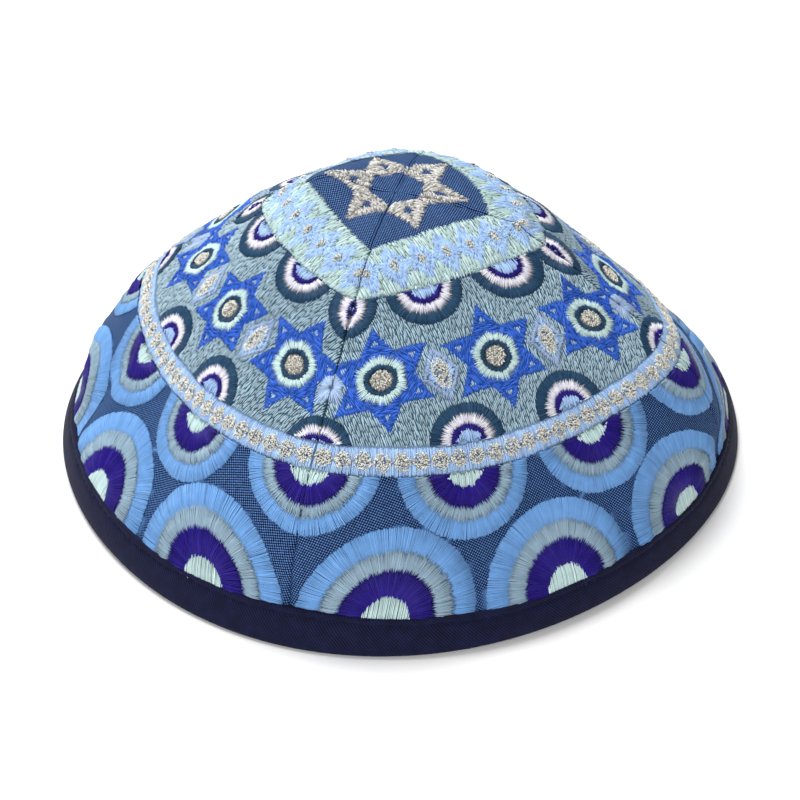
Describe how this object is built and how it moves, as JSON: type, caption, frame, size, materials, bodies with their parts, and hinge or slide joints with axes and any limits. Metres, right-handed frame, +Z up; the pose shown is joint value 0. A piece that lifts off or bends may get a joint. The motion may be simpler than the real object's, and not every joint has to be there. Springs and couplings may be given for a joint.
{
  "type": "kippah",
  "caption": "Embroidered cloth kippah: a soft rounded-square skullcap of curved panels, hollow and open below, standing on its bound rim.",
  "frame": {"origin": "middle of the rim's bounding box, on the surface the rim stands on", "axes": "+Z up through the crown, -Y towards the front seam, +X towards the right seam"},
  "size_m": [0.1788, 0.18, 0.0704],
  "materials": {
    "embroidered_cloth": "navy woven cloth densely embroidered with satin thread in blues, mint, violet and silver",
    "binding_tape": "matt dark navy twill tape, stitched along its upper edge"
  },
  "bodies": {
    "root": {"panel_front_right": "embroidered_cloth", "panel_back_right": "embroidered_cloth", "panel_back_left": "embroidered_cloth", "panel_front_left": "embroidered_cloth", "rim_binding": "binding_tape"}
  },
  "joints": []
}
